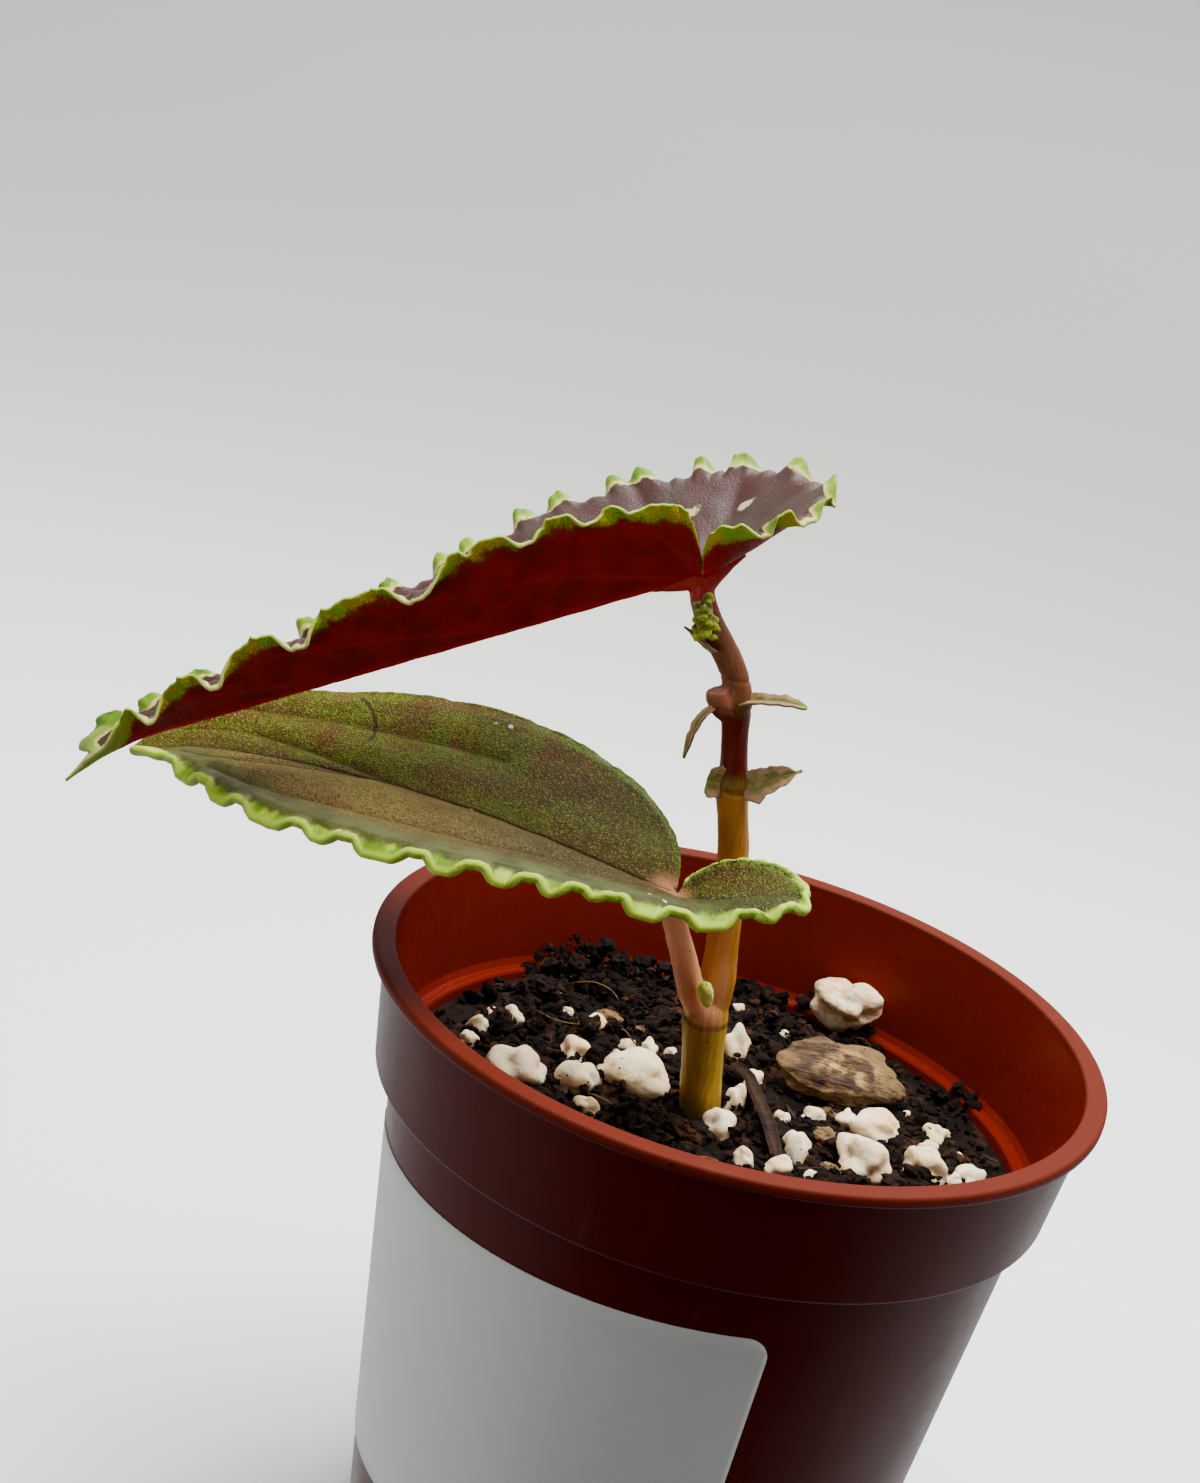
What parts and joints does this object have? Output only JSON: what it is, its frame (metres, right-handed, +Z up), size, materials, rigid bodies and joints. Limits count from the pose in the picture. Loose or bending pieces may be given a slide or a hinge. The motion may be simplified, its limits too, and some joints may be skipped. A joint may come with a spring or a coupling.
{
  "type": "potted begonia",
  "caption": "Young ruffled-leaf begonia in a small round nursery pot with a collar, a blank wrap label and perlite potting mix.",
  "frame": {"origin": "centre of the underside of the pot's base", "axes": "+Z up along the pot's axis; -X towards the leaf tips; -Y towards the label's side"},
  "size_m": [0.1131, 0.08, 0.1285],
  "materials": {
    "pot_plastic": "satin moulded terracotta-brown",
    "label_film": "matt white film, blank",
    "soil": "damp peat and bark with white perlite",
    "bark": "rough weathered bark",
    "perlite": "chalky, pitted",
    "stem": "smooth waxy stem",
    "leaf_red": "satin leaf, dark red beneath, dusky above",
    "leaf_green": "fine glittering leaf surface, pale green margin",
    "stipule": "dry papery",
    "young_green": "fresh bright green"
  },
  "bodies": {
    "root": {"pot": "pot_plastic", "label": "label_film", "potting_mix": "soil", "bark_chip": "bark", "perlite_on_ledge": "perlite", "stem": "stem", "leaf_upper": "leaf_red", "leaf_lower": "leaf_green", "stipule_upper_right": "stipule", "stipule_upper_left": "stipule", "stipule_lower_right": "stipule", "stipule_lower_left": "stipule", "young_leaf": "young_green", "young_stipule": "young_green", "side_bud": "young_green"}
  },
  "joints": []
}
